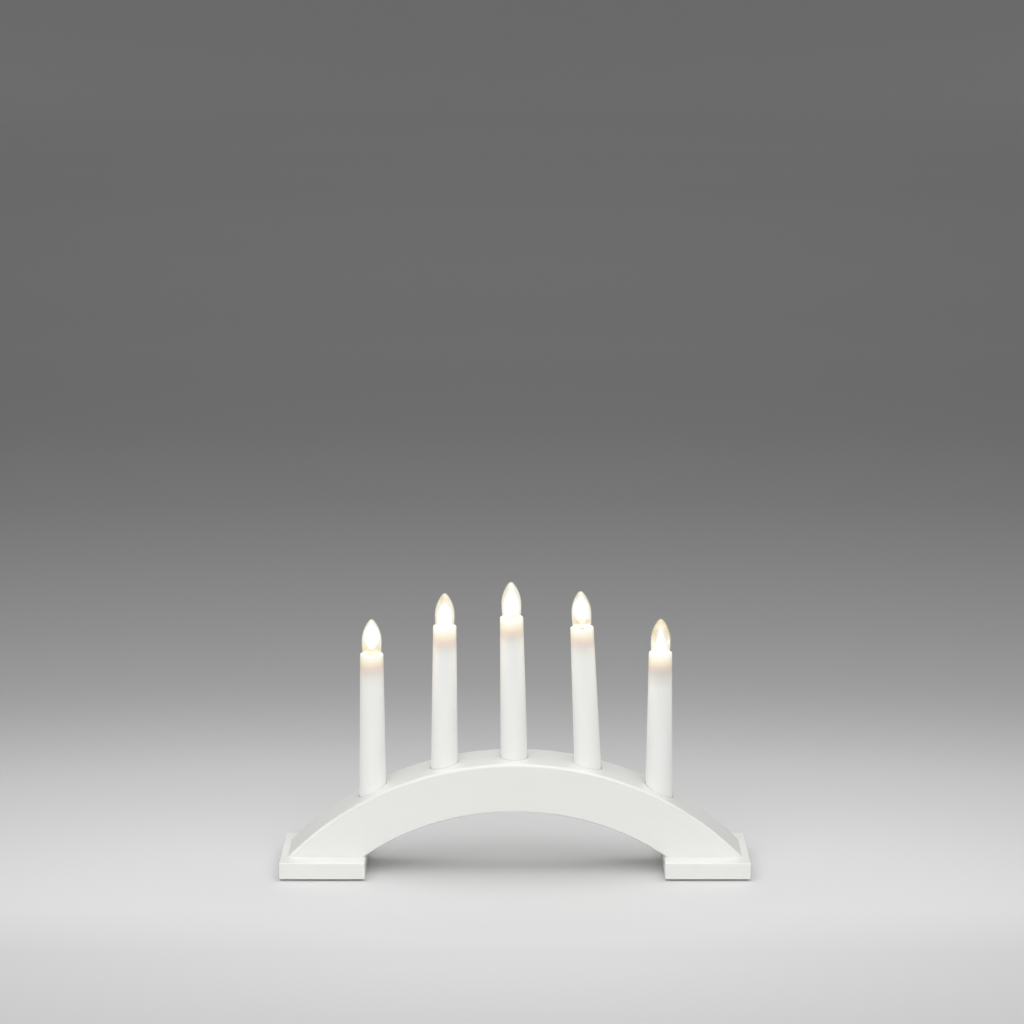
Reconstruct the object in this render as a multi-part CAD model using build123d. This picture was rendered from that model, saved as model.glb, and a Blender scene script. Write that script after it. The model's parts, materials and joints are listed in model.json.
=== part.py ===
from build123d import *
import math
import os

# Wooden candle arch with five electric candles, each a plastic tube with a screw-in bulb.
# Lengths are in millimetres and angles in degrees. The origin is on the table, under the
# middle of the arch. X runs along the arch, Y from the front to the back, and Z is up.

# Arch and foot blocks
overall_width = 400.0      # over the outer ends of the two foot blocks
crown_height = 98.4        # top of the arch above the table
arch_depth = 46.0          # front face to back face
arch_band = 42.2           # thickness of the bent band, measured along its radius
arch_tip_inset = 6.4       # arch tip to the outer end of its foot block
arch_outer_round = 2.4     # rounding of the two long outer edges
arch_inner_round = 1.2     # rounding of the two long inner edges
foot_overhang = 1.7        # foot block past the inner end of the arch foot
foot_depth = 78.0
foot_height = 14.4
foot_round = 0.9
pad_thickness = 1.5
pad_radius = 8.0
pad_inset = 13.0           # pad centre to the front or back of the foot block

# Screws that hold the arch on its foot blocks, driven in from below
screw_radius = 2.0
screw_head_radius = 4.0
screw_head_height = 2.4
screw_length = 25.0
screw_sink = 0.4           # head below the underside of the block
screw_hole_gap = 0.2       # around the shank, in the block
screw_pilot_gap = 0.1      # around the shank and past its end, in the arch
screw_tip_inset = 20.0     # outer screw to the arch tip
screw_spacing = 20.0
screw_drive_radius = 1.6   # square-ended driver recess, as a round socket
screw_drive_depth = 1.3

# Candle holes and the wiring channel
candle_end_inset = 71.6    # evenly spaced place of an outer candle, to the arch tip
candle_strays = [0.4, 0.8, -0.6, 1.4, 1.1]    # each hole along X from its evenly spaced place
seat_depths = [16.8, 14.7, 14.0, 15.6, 14.6]  # each hole, below the arch on the hole's axis
hole_gap = 0.6             # around the foot of a candle tube
wire_hole_radius = 5.0
channel_width = 12.0
channel_depth = 9.0        # from the inner face of the arch
cover_width = 18.0
cover_thickness = 2.0
cover_gap = 0.2            # around the cover strip
tack_radius = 0.6
tack_length = 9.0
tack_head_radius = 1.4
tack_head_thickness = 0.5
tack_edge = 1.55           # tack centre to the edge of the cover strip
tack_gap = 0.05            # around the shank and over the head
tack_rows = 4
tack_end_angle = 27.0      # outermost row of tacks, from the crown

# Cord outlet in the back face
outlet_inset = 24.0        # outlet to the axis of the outermost candle hole
outlet_hole_radius = 4.0
bush_gap = 0.1
bush_bore_radius = 2.7
bush_body_length = 8.0
bush_flange_radius = 5.8
bush_flange_thickness = 1.4
bush_flange_round = 0.6

# Wires
wire_radius = 0.8
wire_bend = 4.0            # bend radius where a wire turns out of a candle hole
wire_offset = 2.3          # lead to the tube's axis
wire_lane = 3.4            # supply wires to the middle of the channel
wire_clearance = 0.6       # supply wires to the bottom of the channel
wire_solder_gap = 0.2      # under the lampholder
outlet_wire_offset = 1.3   # each supply wire to the outlet's axis
outlet_wire_inset = 12.0   # bare ends, in from the back face
outlet_wire_bend = 2.3     # where they turn out of the channel

# Candle tube
tube_length = 137.0
tube_foot_length = 14.0    # straight foot of the tube
tube_rim_radius = 9.8
tube_foot_radius = 11.5
tube_wall = 1.6
tube_rim_round = 0.9
tube_mouth_round = 0.4
tube_foot_chamfer = 0.8
socket_radius = 8.2        # mouth that takes the glass of the bulb
socket_depth = 8.2         # down to the collar that carries the lampholder
collar_height = 6.0
candle_leans = [0.2, 0.4, -1.0, -2.6, 0.0]   # degrees, positive towards +X, left to right

# Lampholder
holder_drops = [0.4, 2.2, 0.0, -0.8, 1.4]     # each lampholder deeper in its tube, with its bulb
holder_flange_thickness = 1.2
holder_flange_gap = 0.2
holder_radius = 6.4
holder_gap = 0.3           # around its body, inside the collar
holder_height = 14.0
holder_floor = 3.8
shell_radius = 4.85        # inside of the screw shell
shell_wall = 0.35
shell_gap = 0.05           # around the screw shell
shell_sink = 0.4           # below the top of the lampholder
shell_lip_radius = 3.0
contact_head_radius = 2.0
contact_head_height = 0.8
contact_stem_radius = 1.2
contact_stem_gap = 0.05
contact_tail = 0.8         # below the lampholder

# Bulb, with an E10 screw cap. Heights are from the rim of the tube, positive upwards.
thread_pitch = 1.814
thread_turns = 4
seated_gap = 0.1           # bulb contact over the centre contact
bulb_contact_radius = 1.8
bulb_contact_height = 0.5
insulator_height = 1.4
insulator_radius = 3.4
insulator_gap = 0.1        # inside the bottom of the cap
cap_radius = 4.65
cap_wall = 0.35
cap_length = 8.6
cap_floor = 0.6
glass_wall = 0.6
glass_radius = 8.3
glass_widest_height = 11.5
glass_ogive_radius = 28.5  # curve from the widest point up to the nose
glass_nose_radius = 2.6
glass_belly_radius = 110.0 # slow curve from the widest point down to the shoulder
glass_shoulder_height = -0.6
glass_neck_gap = 0.2       # cement between the neck and the cap
glass_neck_length = 3.2    # inside the cap
stem_gap = 0.2             # between the stem's flare and the neck
stem_flare_height = 1.2
stem_top_radius = 1.5
stem_height = 8.0
lead_radius = 0.3
lead_root = 0.8            # lead to the axis, at the top of the stem
lead_spread = 2.6          # lead to the axis, at the filament
lead_top_height = 9.0
filament_radius = 0.35
filament_rise = 3.4

overrun = 5.0              # cutting tools past the faces they cut
on_base = (Align.CENTER, Align.CENTER, Align.MIN)

# Derived sizes
foot_top = pad_thickness + foot_height
arch_half_width = overall_width / 2 - arch_tip_inset
arch_rise = crown_height - foot_top
outer_radius = (arch_half_width**2 + arch_rise**2) / (2 * arch_rise)
inner_radius = outer_radius - arch_band
arch_centre_z = crown_height - outer_radius
inner_half_width = math.sqrt(inner_radius**2 - (foot_top - arch_centre_z)**2)
foot_length = overall_width / 2 - inner_half_width + foot_overhang
foot_centre_x = (overall_width - foot_length) / 2
channel_radius = inner_radius + channel_depth
cover_radius = inner_radius + cover_thickness
link_line_radius = (channel_radius + cover_radius) / 2
supply_line_radius = channel_radius - wire_clearance - wire_radius
hole_radius = tube_foot_radius + hole_gap
candle_count = len(candle_leans)
candle_spacing = 2 * (arch_half_width - candle_end_inset) / (candle_count - 1)
candle_xs = [(i - (candle_count - 1) / 2) * candle_spacing + candle_strays[i] for i in range(candle_count)]
outlet_x = candle_xs[-1] - outlet_inset
shell_outer = shell_radius + shell_wall
collar_radius = holder_radius + holder_gap
holder_top = -socket_depth + holder_flange_thickness
holder_bottom = holder_top - holder_height
holder_seat = holder_bottom + holder_floor
contact_top = holder_seat + contact_head_height
bulb_foot = contact_top + seated_gap
cap_bottom = bulb_foot + bulb_contact_height + insulator_height - cap_floor
cap_top = cap_bottom + cap_length
neck_radius = cap_radius - cap_wall - glass_neck_gap
neck_bottom = cap_top - glass_neck_length


def on_circle(radius, x):
    """Height of a circle about the arch's centre, at a place along the arch."""
    return arch_centre_z + math.sqrt(radius**2 - x**2)


def seat_floor(i):
    return on_circle(outer_radius, candle_xs[i]) - seat_depths[i]


def rim_place(i):
    """Middle of a candle tube's rim. The tube leans about the middle of its seat."""
    lean = math.radians(candle_leans[i])
    x = candle_xs[i] - math.sin(lean) * seat_depths[i] / 2
    z = seat_floor(i) + math.sin(abs(lean)) * tube_foot_radius
    return Location((x, 0, z), (0, candle_leans[i], 0)) * Pos(0, 0, tube_length)


def fitting_place(i):
    """The rim's place, lowered as far as the lampholder sits deeper in this tube."""
    return rim_place(i) * Pos(0, 0, -holder_drops[i])


def arch_disc(radius, depth):
    return Pos(0, 0, arch_centre_z) * Rot(90, 0, 0) * Cylinder(radius, depth)


def rod(radius, bottom, top):
    """An upright cylinder between two heights."""
    return Pos(0, 0, bottom) * Cylinder(radius, top - bottom, align=on_base)


def cone(bottom_radius, top_radius, bottom, top):
    return Pos(0, 0, bottom) * Cone(bottom_radius, top_radius, top - bottom, align=on_base)


def turned(*outline):
    """A solid turned about Z from an outline of lines and arcs in the XZ plane."""
    return revolve(Plane.XZ * make_face(Curve() + list(outline)), Axis.Z)


def below_feet():
    size = 2 * outer_radius
    return Pos(0, 0, foot_top) * Box(size, size, size, align=(Align.CENTER, Align.CENTER, Align.MAX))


# Screws and tacks

def screw_places():
    outer = arch_half_width - screw_tip_inset
    return [side * (outer - n * screw_spacing) for side in (-1, 1) for n in range(2)]


def screw_head_bottom():
    return pad_thickness + screw_sink


def foot_screw():
    head_top = screw_head_bottom() + screw_head_height
    head = cone(screw_head_radius, screw_radius, screw_head_bottom(), head_top)
    shank = rod(screw_radius, head_top, screw_head_bottom() + screw_length)
    drive = rod(screw_drive_radius, screw_head_bottom() - overrun, screw_head_bottom() + screw_drive_depth)
    return head + shank - drive


def screw_clearance():
    """Countersunk hole through a foot block."""
    head_radius = screw_head_radius + screw_hole_gap
    shank_radius = screw_radius + screw_hole_gap
    head_top = screw_head_bottom() + screw_head_height
    mouth = rod(head_radius, pad_thickness - overrun, screw_head_bottom())
    sink = cone(head_radius, shank_radius, screw_head_bottom(), head_top)
    return mouth + sink + rod(shank_radius, head_top, foot_top + overrun)


def screw_pilot():
    end = screw_head_bottom() + screw_length + screw_pilot_gap
    return rod(screw_radius + screw_pilot_gap, foot_top - overrun, end)


def tack_places():
    """Rows of tacks along both edges of the cover strip, pointing out along the radius."""
    edge = cover_width / 2 - tack_edge
    step = 2 * tack_end_angle / (tack_rows - 1)
    angles = [row * step - tack_end_angle for row in range(tack_rows)]
    return [
        Pos(0, 0, arch_centre_z) * Rot(0, angle, 0) * Pos(0, side * edge, inner_radius)
        for angle in angles for side in (-1, 1)
    ]


def cover_tack():
    head = rod(tack_head_radius, -tack_gap - tack_head_thickness, -tack_gap)
    return head + rod(tack_radius, -tack_gap, tack_length)


def tack_hole():
    return rod(tack_radius + tack_gap, -overrun, tack_length + tack_gap)


# Wooden parts

def outlet_place():
    """Middle of the outlet's hole at the back face, with Z pointing out of the arch."""
    return Pos(outlet_x, arch_depth / 2, on_circle(channel_radius, outlet_x)) * Rot(-90, 0, 0)


def long_edges(band, outer):
    """The round edges of the band on its outer or its inner side."""
    middle_radius = (outer_radius + inner_radius) / 2
    edges = band.edges().filter_by(GeomType.CIRCLE)
    return [edge for edge in edges if (edge.radius > middle_radius) == outer]


def arch():
    band = arch_disc(outer_radius, arch_depth) - arch_disc(inner_radius, arch_depth + overrun)
    band = fillet(long_edges(band, True), arch_outer_round)
    band = fillet(long_edges(band, False), arch_inner_round)
    cuts = [below_feet()]
    cuts.append(arch_disc(channel_radius, channel_width))
    cuts.append(arch_disc(cover_radius + cover_gap, cover_width + 2 * cover_gap))
    for i, x in enumerate(candle_xs):
        top = crown_height + overrun
        cuts.append(Pos(x, 0, 0) * rod(hole_radius, seat_floor(i), top))
        cuts.append(Pos(x, 0, 0) * rod(wire_hole_radius, on_circle(inner_radius, x), top))
    cuts += [Pos(x, 0, 0) * screw_pilot() for x in screw_places()]
    cuts += [place * tack_hole() for place in tack_places()]
    cuts.append(outlet_place() * rod(outlet_hole_radius, -arch_depth / 2, overrun))
    return band - cuts


def foot_block(side):
    middle = pad_thickness + foot_height / 2
    block = Pos(side * foot_centre_x, 0, middle) * Box(foot_length, foot_depth, foot_height)
    block = fillet(block.edges(), foot_round)
    return block - [Pos(x, 0, 0) * screw_clearance() for x in screw_places() if x * side > 0]


def felt_pads():
    y = foot_depth / 2 - pad_inset
    pad = rod(pad_radius, 0, pad_thickness)
    return [Pos(side * foot_centre_x, row * y, 0) * pad for side in (-1, 1) for row in (-1, 1)]


def cover_strip():
    strip = arch_disc(cover_radius, cover_width) - arch_disc(inner_radius, cover_width + overrun)
    strip -= Pos(0, 0, cover_gap) * below_feet()
    return strip - [place * tack_hole() for place in tack_places()]


def cord_bush():
    body = rod(outlet_hole_radius - bush_gap, -bush_body_length, 0)
    flange = rod(bush_flange_radius, 0, bush_flange_thickness)
    rim = flange.edges().group_by(Axis.Z)[-1]
    bush = body + fillet(rim, bush_flange_round)
    return outlet_place() * (bush - rod(bush_bore_radius, -bush_body_length - overrun, overrun))


# Wires

def wire(points, bends):
    path = FilletPolyline(points, radius=bends)
    section = (path ^ 0) * Circle(wire_radius)
    return sweep(section, path=path)


def solder_point(i, x, y):
    """Where a wire starts, under a lampholder."""
    return (fitting_place(i) * Pos(x, y, holder_bottom - wire_solder_gap)).position


def link_point(x):
    return Vector(x, 0, on_circle(link_line_radius, x))


def supply_point(x):
    return Vector(x, wire_lane, on_circle(supply_line_radius, x))


def link_wire(i):
    """From one lampholder down into the channel, along it and up to the next lampholder."""
    left, right = candle_xs[i], candle_xs[i + 1]
    start_x, end_x = left + wire_offset, right - wire_offset
    middle_x = (start_x + end_x) / 2
    points = [
        solder_point(i, wire_offset, 0),
        link_point(start_x),
        link_point(middle_x),
        link_point(end_x),
        solder_point(i + 1, -wire_offset, 0),
    ]
    return wire(points, [wire_bend, (end_x - start_x) / 2, wire_bend])


def supply_wire(i, stop_x):
    """From the outer lampholder along the back of the channel to the cord outlet."""
    start_x = candle_xs[i]
    spans = max(1, round(abs(stop_x - start_x) / candle_spacing * 2))
    points = [solder_point(i, 0, wire_offset)]
    points += [supply_point(start_x + (stop_x - start_x) * n / spans) for n in range(spans + 1)]
    points.append(Vector(points[-1].X, arch_depth / 2 - outlet_wire_inset, points[-1].Z))
    long_bend = candle_spacing / 2
    return wire(points, [wire_bend] + [long_bend] * (spans - 1) + [outlet_wire_bend])


# Candle parts, each about its own axis. The tube's rim is at height zero, and a fitting's heights
# are as in a tube whose lampholder isn't lowered.

def candle_tube(drop):
    """A tube whose collar, with the lampholder on it, is lowered by a drop."""
    seat_top = tube_foot_length - tube_length
    socket_floor = -socket_depth - drop
    cavity_top = socket_floor - collar_height
    slope = (tube_foot_radius - tube_rim_radius) / seat_top
    body = rod(tube_foot_radius, -tube_length, seat_top) + cone(tube_foot_radius, tube_rim_radius, seat_top, 0)
    body = fillet(body.edges().group_by(Axis.Z)[-1], tube_rim_round)
    body = chamfer(body.edges().group_by(Axis.Z)[0], tube_foot_chamfer)
    hollow_foot = tube_foot_radius - tube_wall
    hollow_head = tube_rim_radius + slope * cavity_top - tube_wall
    body -= rod(hollow_foot, -tube_length - overrun, seat_top)
    body -= cone(hollow_foot, hollow_head, seat_top, cavity_top)
    body -= rod(collar_radius, -tube_length, overrun)
    body -= rod(socket_radius, socket_floor, overrun)
    mouth = body.edges().filter_by(GeomType.CIRCLE).group_by(Axis.Z)[-1].sort_by(SortBy.RADIUS)[0]
    return fillet(mouth, tube_mouth_round)


def lampholder():
    flange = rod(socket_radius - holder_flange_gap, -socket_depth, holder_top)
    body = flange + rod(holder_radius, holder_bottom, holder_top)
    body -= rod(shell_outer + shell_gap, holder_seat, overrun)
    return body - rod(contact_stem_radius + contact_stem_gap, holder_bottom - overrun, overrun)


def screw_shell():
    shell = rod(shell_outer, holder_seat, holder_top - shell_sink)
    shell -= rod(shell_radius, holder_seat + shell_wall, overrun)
    return shell - rod(shell_lip_radius, holder_seat - overrun, overrun)


def centre_contact():
    head = rod(contact_head_radius, holder_seat, contact_top)
    return head + rod(contact_stem_radius, holder_bottom - contact_tail, holder_seat)


def bulb_contact():
    return rod(bulb_contact_radius, bulb_foot, bulb_foot + bulb_contact_height)


def bulb_insulator():
    bottom = bulb_foot + bulb_contact_height
    return cone(bulb_contact_radius, insulator_radius, bottom, bottom + insulator_height)


def bulb_cap():
    cap = rod(cap_radius, cap_bottom, cap_top)
    cap -= rod(cap_radius - cap_wall, cap_bottom + cap_floor, cap_top + overrun)
    return cap - rod(insulator_radius + insulator_gap, cap_bottom - overrun, cap_top)


def glass_form(wall):
    """The bulb's glass, drawn in by a wall: nose, ogive, belly, shoulder and neck."""
    ogive_x = glass_radius - glass_ogive_radius
    nose_rise = math.sqrt((glass_ogive_radius - glass_nose_radius)**2 - ogive_x**2)
    nose_z = glass_widest_height + nose_rise
    nose_angle = math.atan2(nose_rise, -ogive_x)
    ogive_radius = glass_ogive_radius - wall
    nose_radius = glass_nose_radius - wall
    belly_radius = glass_belly_radius - wall
    belly_x = glass_radius - glass_belly_radius
    belly_angle = math.asin((glass_widest_height - glass_shoulder_height) / glass_belly_radius)

    def at(centre_x, centre_z, radius, angle):
        return (centre_x + radius * math.cos(angle), centre_z + radius * math.sin(angle))

    tip = (0, nose_z + nose_radius)
    nose_end = at(0, nose_z, nose_radius, nose_angle)
    nose_middle = at(0, nose_z, nose_radius, (nose_angle + math.pi / 2) / 2)
    ogive_middle = at(ogive_x, glass_widest_height, ogive_radius, nose_angle / 2)
    widest = at(ogive_x, glass_widest_height, ogive_radius, 0)
    belly_middle = at(belly_x, glass_widest_height, belly_radius, -belly_angle / 2)
    belly_end = at(belly_x, glass_widest_height, belly_radius, -belly_angle)
    neck_top = (neck_radius - wall, cap_top + wall)
    neck_end = (neck_radius - wall, neck_bottom)
    down = (-math.sin(belly_angle), -math.cos(belly_angle))
    return turned(
        ThreePointArc(tip, nose_middle, nose_end),
        ThreePointArc(nose_end, ogive_middle, widest),
        ThreePointArc(widest, belly_middle, belly_end),
        TangentArc(belly_end, neck_top, tangent=down),
        Line(neck_top, neck_end),
        Line(neck_end, (0, neck_bottom)),
        Line((0, neck_bottom), tip),
    )


def bulb_glass():
    return glass_form(0) - glass_form(glass_wall)


def bulb_mount():
    """The glass stem in the neck, with two lead wires that hold the filament between them."""
    flare_top = neck_bottom + stem_flare_height
    stem_top = neck_bottom + stem_height
    flare = rod(neck_radius - glass_wall - stem_gap, neck_bottom, flare_top)
    stem = flare + cone(neck_radius - glass_wall - stem_gap, stem_top_radius, flare_top, stem_top)
    tips = []
    for side in (-1, 1):
        root = Vector(side * lead_root, 0, stem_top - stem_flare_height)
        tip = Vector(side * lead_spread, 0, lead_top_height)
        line = Line(root, tip)
        stem += sweep((line ^ 0) * Circle(lead_radius), path=line)
        tips.append(tip)
    crest = Vector(0, 0, lead_top_height + filament_rise)
    coil = ThreePointArc(tips[0], crest, tips[1])
    return stem + sweep((coil ^ 0) * Circle(filament_radius), path=coil)


fittings = {
    "lampholder": lampholder,
    "screw_shell": screw_shell,
    "centre_contact": centre_contact,
    "bulb_glass": bulb_glass,
    "bulb_cap": bulb_cap,
    "bulb_insulator": bulb_insulator,
    "bulb_contact": bulb_contact,
    "bulb_mount": bulb_mount,
}


def build():
    nodes = {
        "arch": arch(),
        "foot_block_left": foot_block(-1),
        "foot_block_right": foot_block(1),
        "felt_pads": Compound(children=felt_pads()),
        "foot_screws": Compound(children=[Pos(x, 0, 0) * foot_screw() for x in screw_places()]),
        "cover_strip": cover_strip(),
        "cover_tacks": Compound(children=[place * cover_tack() for place in tack_places()]),
        "cord_bush": cord_bush(),
        "supply_wire_left": supply_wire(0, outlet_x - outlet_wire_offset),
        "supply_wire_right": supply_wire(candle_count - 1, outlet_x + outlet_wire_offset),
    }
    for i in range(candle_count - 1):
        nodes[f"link_wire_{i + 1}_{i + 2}"] = link_wire(i)
    for i in range(candle_count):
        nodes[f"candle_tube_{i + 1}"] = rim_place(i) * candle_tube(holder_drops[i])
    for name, make in fittings.items():
        piece = make()
        for i in range(candle_count):
            nodes[f"{name}_{i + 1}"] = fitting_place(i) * piece
    return nodes


os.makedirs("parts", exist_ok=True)
for name, shape in build().items():
    export_step(shape, f"parts/{name}.step")
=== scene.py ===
import bpy
import json
import math
import random
from mathutils import Matrix, Vector


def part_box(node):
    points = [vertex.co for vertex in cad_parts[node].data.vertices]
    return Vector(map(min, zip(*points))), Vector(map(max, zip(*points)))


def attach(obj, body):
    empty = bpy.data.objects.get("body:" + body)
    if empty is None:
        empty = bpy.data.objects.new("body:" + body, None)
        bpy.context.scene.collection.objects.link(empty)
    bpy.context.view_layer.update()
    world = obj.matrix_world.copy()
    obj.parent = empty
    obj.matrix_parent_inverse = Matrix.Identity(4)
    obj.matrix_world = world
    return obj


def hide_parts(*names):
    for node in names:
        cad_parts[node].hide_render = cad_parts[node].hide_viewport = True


# Looks of a white wooden candle arch with five lit electric candles.
# Lengths are in metres, or in millimetres where a name ends in _MM or _mm or a comment says so.
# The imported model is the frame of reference.

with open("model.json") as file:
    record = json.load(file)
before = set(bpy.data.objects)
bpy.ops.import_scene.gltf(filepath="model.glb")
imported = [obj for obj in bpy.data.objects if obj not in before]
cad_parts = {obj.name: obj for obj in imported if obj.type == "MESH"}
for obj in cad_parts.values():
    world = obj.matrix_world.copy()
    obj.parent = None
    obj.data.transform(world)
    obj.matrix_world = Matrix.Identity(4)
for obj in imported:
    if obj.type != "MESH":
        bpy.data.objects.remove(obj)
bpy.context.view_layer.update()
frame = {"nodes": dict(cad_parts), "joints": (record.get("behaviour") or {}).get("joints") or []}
nodes = frame["nodes"]
joints = {joint["name"]: joint for joint in frame["joints"]}

MM = 0.001
CANDLES = (1, 2, 3, 4, 5)
TURN = 2 * math.pi


# Candle axes. The heights of a candle's pieces are from a point on its axis, near the rim of its tube.

RIM_HEIGHTS_MM = {1: 0.4, 2: 2.2, 3: 0.0, 4: -0.8, 5: 1.4}     # rim over that point


def bulb_point(n):
    return Vector(joints[f"bulb_{n}_unscrew"]["pos_m"])


def candle_axis(n):
    return Vector(joints[f"bulb_{n}_unscrew"]["axis"])


def candle_matrix(n):
    """Places a piece made about the Z axis on its candle."""
    turn = Vector((0, 0, 1)).rotation_difference(candle_axis(n))
    return Matrix.Translation(bulb_point(n)) @ turn.to_matrix().to_4x4()


# Materials

class Look:
    """A procedural material being built round one Principled shader."""

    def __init__(self, name, color, roughness, **plain):
        self.material = bpy.data.materials.new(name)
        self.material.use_nodes = True
        self.tree = self.material.node_tree
        self.shader = self.tree.nodes["Principled BSDF"]
        self.shader.inputs["Base Color"].default_value = (*color, 1)
        self.shader.inputs["Roughness"].default_value = roughness
        for socket, value in plain.items():
            self.shader.inputs[socket.replace("_", " ")].default_value = value
        self.place = self.node("ShaderNodeTexCoord").outputs["Object"]

    def node(self, kind, **settings):
        made = self.tree.nodes.new(kind)
        for name, value in settings.items():
            setattr(made, name, value)
        return made

    def join(self, source, target):
        self.tree.links.new(source, target)

    def math(self, operation, *values):
        made = self.node("ShaderNodeMath", operation=operation)
        for socket, value in zip(made.inputs, values):
            self.feed(value, socket)
        return made.outputs[0]

    def vector(self, operation, *values):
        made = self.node("ShaderNodeVectorMath", operation=operation)
        for socket, value in zip(made.inputs, values):
            self.feed(value, socket)
        return made.outputs["Value"] if operation in ("LENGTH", "DOT_PRODUCT") else made.outputs[0]

    def feed(self, value, socket):
        if isinstance(value, bpy.types.NodeSocket):
            self.join(value, socket)
        else:
            socket.default_value = value

    def stretched(self, place, scale):
        made = self.node("ShaderNodeMapping")
        self.join(place, made.inputs["Vector"])
        made.inputs["Scale"].default_value = scale
        return made.outputs[0]

    def noise(self, place, scale, detail=3.0, roughness=0.5):
        made = self.node("ShaderNodeTexNoise")
        self.join(place, made.inputs["Vector"])
        made.inputs["Scale"].default_value = scale
        made.inputs["Detail"].default_value = detail
        made.inputs["Roughness"].default_value = roughness
        return made.outputs["Fac"]

    def span(self, value, low, high, to_low=0.0, to_high=1.0):
        made = self.node("ShaderNodeMapRange")
        self.feed(value, made.inputs["Value"])
        for name, number in (("From Min", low), ("From Max", high), ("To Min", to_low), ("To Max", to_high)):
            made.inputs[name].default_value = number
        return made.outputs[0]

    def ramp(self, value, stops, smooth=True):
        """A colour ramp from (place, colour) stops, with places from 0 to 1."""
        made = self.node("ShaderNodeValToRGB")
        made.color_ramp.interpolation = "EASE" if smooth else "LINEAR"
        elements = made.color_ramp.elements
        elements.remove(elements[1])
        elements[0].position = stops[0][0]
        elements[0].color = (*stops[0][1], 1)
        for place, color in stops[1:]:
            elements.new(place).color = (*color, 1)
        self.feed(value, made.inputs["Fac"])
        return made.outputs["Color"]

    def mix(self, share, first, second, blend="MIX"):
        made = self.node("ShaderNodeMix", data_type="RGBA", blend_type=blend)
        color_sockets = [s for s in made.inputs if s.type == "RGBA"]
        self.feed(share, made.inputs["Factor"])
        self.feed(first, color_sockets[0])
        self.feed(second, color_sockets[1])
        return [s for s in made.outputs if s.type == "RGBA"][0]

    def color(self, socket):
        self.join(socket, self.shader.inputs["Base Color"])

    def rough(self, value, low, high):
        """Roughness between two values as a 0 to 1 pattern goes."""
        self.join(self.span(value, 0, 1, low, high), self.shader.inputs["Roughness"])

    def bump(self, *layers, normal=None):
        """Bump layers of (height, strength, depth in metres), the finest last."""
        for height, strength, depth in layers:
            made = self.node("ShaderNodeBump")
            made.inputs["Strength"].default_value = strength
            made.inputs["Distance"].default_value = depth
            self.join(height, made.inputs["Height"])
            if normal:
                self.join(normal, made.inputs["Normal"])
            normal = made.outputs[0]
        self.join(normal, self.shader.inputs["Normal"])

    def glow(self, color, strength):
        self.feed(color, self.shader.inputs["Emission Color"])
        self.shader.inputs["Emission Strength"].default_value = strength


def gray(value):
    return (value, value, value)


def tinted(color, share):
    return tuple(c * share for c in color)


LACQUER = (0.865, 0.862, 0.838)
GRAIN_STRETCH = (9.0, 230.0, 230.0)      # long grain along the wood
GRAIN_SHOWS = 0.35
BLOCK_PAINTED_SHADE = 0.98                       # painted shade: the blocks' lacquer is a little darker than the arch's


def lacquer_look(name, place_of, shade=1.0, normal_of=None):
    """Sprayed satin lacquer over fine-grained wood, which shows through it very faintly."""
    look = Look(name, LACQUER, 0.42, Coat_Weight=0.06, Coat_Roughness=0.3)
    # a shade under 1 darkens the lacquer as painted shade
    color = tinted(LACQUER, shade)
    place = place_of(look)
    grain = look.noise(look.stretched(place, GRAIN_STRETCH), scale=1.0, detail=4.0, roughness=0.55)
    spray = look.noise(look.place, scale=900.0, detail=2.0)
    cloud = look.noise(look.place, scale=18.0)
    tone = look.ramp(cloud, [(0.3, tinted(color, 0.985)), (0.7, color)])
    veil = look.ramp(grain, [(0.36, tinted(color, 0.975)), (0.5, color)])
    look.color(look.mix(GRAIN_SHOWS, tone, veil))
    look.rough(look.noise(look.place, scale=60.0, detail=4.0), 0.38, 0.5)
    normal = normal_of(look) if normal_of else None
    look.bump((grain, 0.06, 0.0001), (spray, 0.08, 0.00005), normal=normal)
    return look.material


def straight_place(look):
    return look.place


arch_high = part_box("arch")[1]            # its corner furthest right, back and up
ARCH_CENTRE_Z = -0.170007                # centre of the arch's circles
ARCH_THICKNESS = 0.0422
ARCH_OUTER_RADIUS = arch_high.z - ARCH_CENTRE_Z
ARCH_INNER_RADIUS = ARCH_OUTER_RADIUS - ARCH_THICKNESS
ARCH_MIDDLE_RADIUS = ARCH_OUTER_RADIUS - 0.02
ARCH_OUTER_ROUND, ARCH_INNER_ROUND = 0.0024, 0.0012
SKIN_TOLERANCE, ROUND_TOLERANCE = 0.00025, 0.0009    # how far the mesh lies from its faces and its rounds


def bent_place(look):
    """Runs along the bent band: arc length, depth, and radius from the arch's centre."""
    offset = look.vector("SUBTRACT", look.place, (0, 0, ARCH_CENTRE_Z))
    parts = look.node("ShaderNodeSeparateXYZ")
    look.join(offset, parts.inputs[0])
    x, y, z = parts.outputs
    angle = look.math("ARCTAN2", x, z)
    flat = look.vector("MULTIPLY", offset, (1, 0, 1))
    joined = look.node("ShaderNodeCombineXYZ")
    look.join(look.math("MULTIPLY", angle, ARCH_MIDDLE_RADIUS), joined.inputs[0])
    look.join(y, joined.inputs[1])
    look.join(look.vector("LENGTH", flat), joined.inputs[2])
    return joined.outputs[0]


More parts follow.
